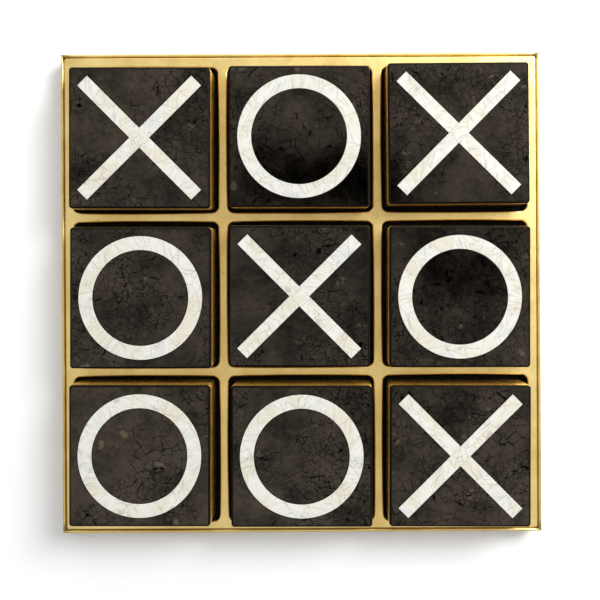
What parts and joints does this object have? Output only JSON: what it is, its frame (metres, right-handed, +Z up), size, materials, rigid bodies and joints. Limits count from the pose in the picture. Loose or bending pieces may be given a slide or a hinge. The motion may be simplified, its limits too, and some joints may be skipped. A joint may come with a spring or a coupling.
{
  "type": "tic tac toe set",
  "caption": "Square brass-clad tray with a grid of cells holding loose square tiles, dark shell tops inlaid with a pale cross or ring.",
  "frame": {"origin": "centre of the underside of the tray's felt, on the surface it stands on", "axes": "+Z up through the tile tops, +X to the right and +Y to the back of the tray"},
  "size_m": [0.305, 0.305, 0.033],
  "materials": {
    "satin_brass": "brushed satin, with polished rolled edges",
    "pen_shell": "polished dark shell under clear resin, finely crackled",
    "mother_of_pearl": "polished chips of shell with fine seams",
    "wood": "plain sanded",
    "fibreboard": "plain, fine fibres",
    "blackened_wood": "matt black stain",
    "felt": "black felt"
  },
  "bodies": {
    "board": {"base_felt": "felt", "base_board": "fibreboard", "floor_liner": "felt", "grid_core": "blackened_wood", "brass_grid": "satin_brass", "side_rail_front": "satin_brass", "side_rail_right": "satin_brass", "side_rail_back": "satin_brass", "side_rail_left": "satin_brass"},
    "tile_1": {"tile_1_felt": "felt", "tile_1_core": "wood", "tile_1_brass_band": "satin_brass", "tile_1_shell_panel": "pen_shell", "tile_1_cross_inlay": "mother_of_pearl"},
    "tile_2": {"tile_2_felt": "felt", "tile_2_core": "wood", "tile_2_brass_band": "satin_brass", "tile_2_shell_panel": "pen_shell", "tile_2_ring_inlay": "mother_of_pearl", "tile_2_shell_disc": "pen_shell"},
    "tile_3": {"tile_3_felt": "felt", "tile_3_core": "wood", "tile_3_brass_band": "satin_brass", "tile_3_shell_panel": "pen_shell", "tile_3_cross_inlay": "mother_of_pearl"},
    "tile_4": {"tile_4_felt": "felt", "tile_4_core": "wood", "tile_4_brass_band": "satin_brass", "tile_4_shell_panel": "pen_shell", "tile_4_ring_inlay": "mother_of_pearl", "tile_4_shell_disc": "pen_shell"},
    "tile_5": {"tile_5_felt": "felt", "tile_5_core": "wood", "tile_5_brass_band": "satin_brass", "tile_5_shell_panel": "pen_shell", "tile_5_cross_inlay": "mother_of_pearl"},
    "tile_6": {"tile_6_felt": "felt", "tile_6_core": "wood", "tile_6_brass_band": "satin_brass", "tile_6_shell_panel": "pen_shell", "tile_6_ring_inlay": "mother_of_pearl", "tile_6_shell_disc": "pen_shell"},
    "tile_7": {"tile_7_felt": "felt", "tile_7_core": "wood", "tile_7_brass_band": "satin_brass", "tile_7_shell_panel": "pen_shell", "tile_7_ring_inlay": "mother_of_pearl", "tile_7_shell_disc": "pen_shell"},
    "tile_8": {"tile_8_felt": "felt", "tile_8_core": "wood", "tile_8_brass_band": "satin_brass", "tile_8_shell_panel": "pen_shell", "tile_8_ring_inlay": "mother_of_pearl", "tile_8_shell_disc": "pen_shell"},
    "tile_9": {"tile_9_felt": "felt", "tile_9_core": "wood", "tile_9_brass_band": "satin_brass", "tile_9_shell_panel": "pen_shell", "tile_9_cross_inlay": "mother_of_pearl"}
  },
  "joints": [
    {"name": "tile_1_lift", "type": "slide", "parent": "board", "child": "tile_1", "axis": [0, 0, 1], "range_m": [0, 0.045]},
    {"name": "tile_2_lift", "type": "slide", "parent": "board", "child": "tile_2", "axis": [0, 0, 1], "range_m": [0, 0.045]},
    {"name": "tile_3_lift", "type": "slide", "parent": "board", "child": "tile_3", "axis": [0, 0, 1], "range_m": [0, 0.045]},
    {"name": "tile_4_lift", "type": "slide", "parent": "board", "child": "tile_4", "axis": [0, 0, 1], "range_m": [0, 0.045]},
    {"name": "tile_5_lift", "type": "slide", "parent": "board", "child": "tile_5", "axis": [0, 0, 1], "range_m": [0, 0.045]},
    {"name": "tile_6_lift", "type": "slide", "parent": "board", "child": "tile_6", "axis": [0, 0, 1], "range_m": [0, 0.045]},
    {"name": "tile_7_lift", "type": "slide", "parent": "board", "child": "tile_7", "axis": [0, 0, 1], "range_m": [0, 0.045]},
    {"name": "tile_8_lift", "type": "slide", "parent": "board", "child": "tile_8", "axis": [0, 0, 1], "range_m": [0, 0.045]},
    {"name": "tile_9_lift", "type": "slide", "parent": "board", "child": "tile_9", "axis": [0, 0, 1], "range_m": [0, 0.045]}
  ]
}
